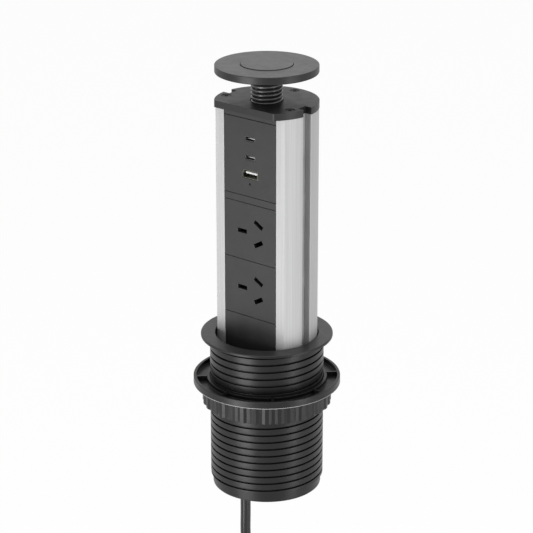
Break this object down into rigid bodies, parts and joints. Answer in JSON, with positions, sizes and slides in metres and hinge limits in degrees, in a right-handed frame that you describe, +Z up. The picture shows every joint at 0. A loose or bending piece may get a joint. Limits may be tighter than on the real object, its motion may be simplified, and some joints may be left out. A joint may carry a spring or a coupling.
{
  "type": "pop up desk socket",
  "caption": "Pop-up desk power tower with angled three-pin sockets and USB outlets, rising from a threaded sleeve that a clamp plate and nut hold in a round desk hole.",
  "frame": {"origin": "centre of the underside of the flange, where it rests on the desk top around the hole", "axes": "+Z up along the tower's axis, -Y towards the front with the sockets, +X to the right seen from the front"},
  "size_m": [0.1236, 0.1278, 0.5698],
  "materials": {
    "black_plastic": "fine matt moulded black",
    "panel_plastic": "smooth satin dark grey",
    "aluminium": "satin silver anodised, drawn lengthways",
    "rubber": "soft matt black",
    "cord_jacket": "smooth flexible black jacket",
    "steel": "bright plated",
    "spring_steel": "black coated",
    "brass": "plain",
    "white_plastic": "plain",
    "board": "solder mask"
  },
  "bodies": {
    "base": {"sleeve": "black_plastic", "friction_ring": "rubber"},
    "clamp_plate": {"clamp_plate": "black_plastic"},
    "clamp_nut": {"clamp_nut": "black_plastic"},
    "tower": {"profile": "aluminium", "guide_strip_left": "panel_plastic", "guide_strip_right": "panel_plastic", "top_cap": "black_plastic", "cap_screw_left": "spring_steel", "cap_screw_right": "spring_steel", "cap_screw_back": "spring_steel", "top_filler": "panel_plastic", "usb_face": "panel_plastic", "usb_back": "black_plastic", "usb_board": "board", "usb_c_shell_upper": "steel", "usb_c_shell_lower": "steel", "usb_a_shell": "steel", "usb_c_tongue_upper": "black_plastic", "usb_c_tongue_lower": "black_plastic", "usb_a_tongue": "white_plastic", "status_led": "white_plastic", "mid_filler": "panel_plastic", "socket_upper": "panel_plastic", "socket_lower": "panel_plastic", "socket_back_upper": "black_plastic", "socket_back_lower": "black_plastic", "lower_blank": "panel_plastic", "bottom_cap": "black_plastic", "bottom_screw_left": "steel", "bottom_screw_right": "steel", "bottom_screw_back": "steel", "neck_spring": "spring_steel", "strain_relief": "rubber", "cord_run": "cord_jacket", "cord_coil": "cord_jacket", "cord_tail": "cord_jacket", "cord_tie": "rubber", "plug_relief": "rubber", "plug_body": "rubber", "contact_live_upper": "brass", "contact_neutral_upper": "brass", "contact_earth_upper": "brass", "contact_live_lower": "brass", "contact_neutral_lower": "brass", "contact_earth_lower": "brass", "pin_live": "brass", "pin_neutral": "brass", "pin_earth": "brass"},
    "lid": {"lid_disc": "black_plastic", "lid_pad": "black_plastic", "lid_stem": "black_plastic", "stem_clip": "steel"}
  },
  "joints": [
    {"name": "tower_slide", "type": "slide", "parent": "base", "child": "tower", "axis": [0, 0, 1], "range_m": [-0.1909, 0]},
    {"name": "lid_press", "type": "slide", "parent": "tower", "child": "lid", "axis": [0, 0, 1], "range_m": [-0.003, 0], "stiffness_N_per_m": 800, "springref_m": 0.004, "deforming": ["neck_spring"]},
    {"name": "clamp_slide", "type": "slide", "parent": "base", "child": "clamp_plate", "axis": [0, 0, 1], "range_m": [-0.05, 0.025]},
    {"name": "nut_turn", "type": "hinge", "parent": "clamp_plate", "child": "clamp_nut", "pos_m": [0, 0, -0.0417], "axis": [0, 0, 1], "range_deg": [-3448, 1724]}
  ],
  "couplings": [
    {"joint": "clamp_slide", "follows": "nut_turn", "m_per_rad": 0.00083079}
  ]
}
